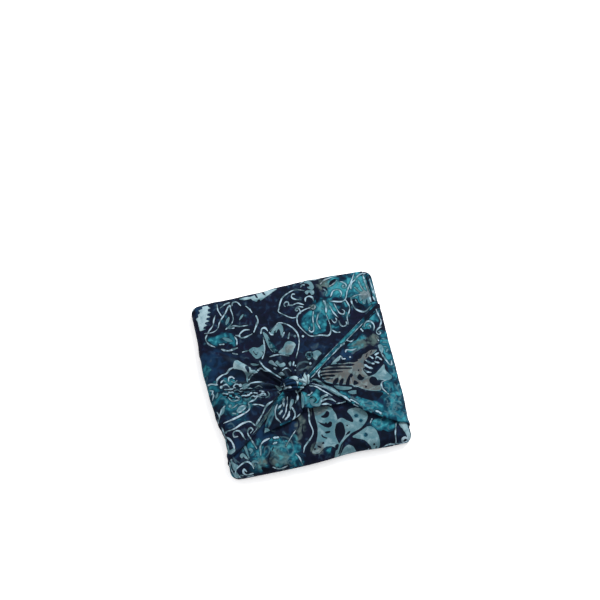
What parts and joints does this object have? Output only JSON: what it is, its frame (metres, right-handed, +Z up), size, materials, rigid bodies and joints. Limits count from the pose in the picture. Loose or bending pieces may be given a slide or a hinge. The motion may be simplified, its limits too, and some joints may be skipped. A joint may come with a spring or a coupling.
{
  "type": "furoshiki wrap",
  "caption": "Flat square parcel wrapped in one cotton wrapping cloth, its flaps folded over the top and tied at the middle in a square knot with short free ends.",
  "frame": {"origin": "centre of the parcel's box at the height of its flat underside", "axes": "+Z up out of the tied side, +Y towards the side that the top flap comes from, +X towards the side with the hemmed flap that lies over the others"},
  "size_m": [0.202, 0.2038, 0.0335],
  "materials": {
    "furoshiki_cloth": "matte plain-woven cotton, wax-resist dyed in navy and teal with pale flower outlines"
  },
  "bodies": {
    "root": {"furoshiki_cloth": "furoshiki_cloth"}
  },
  "joints": []
}
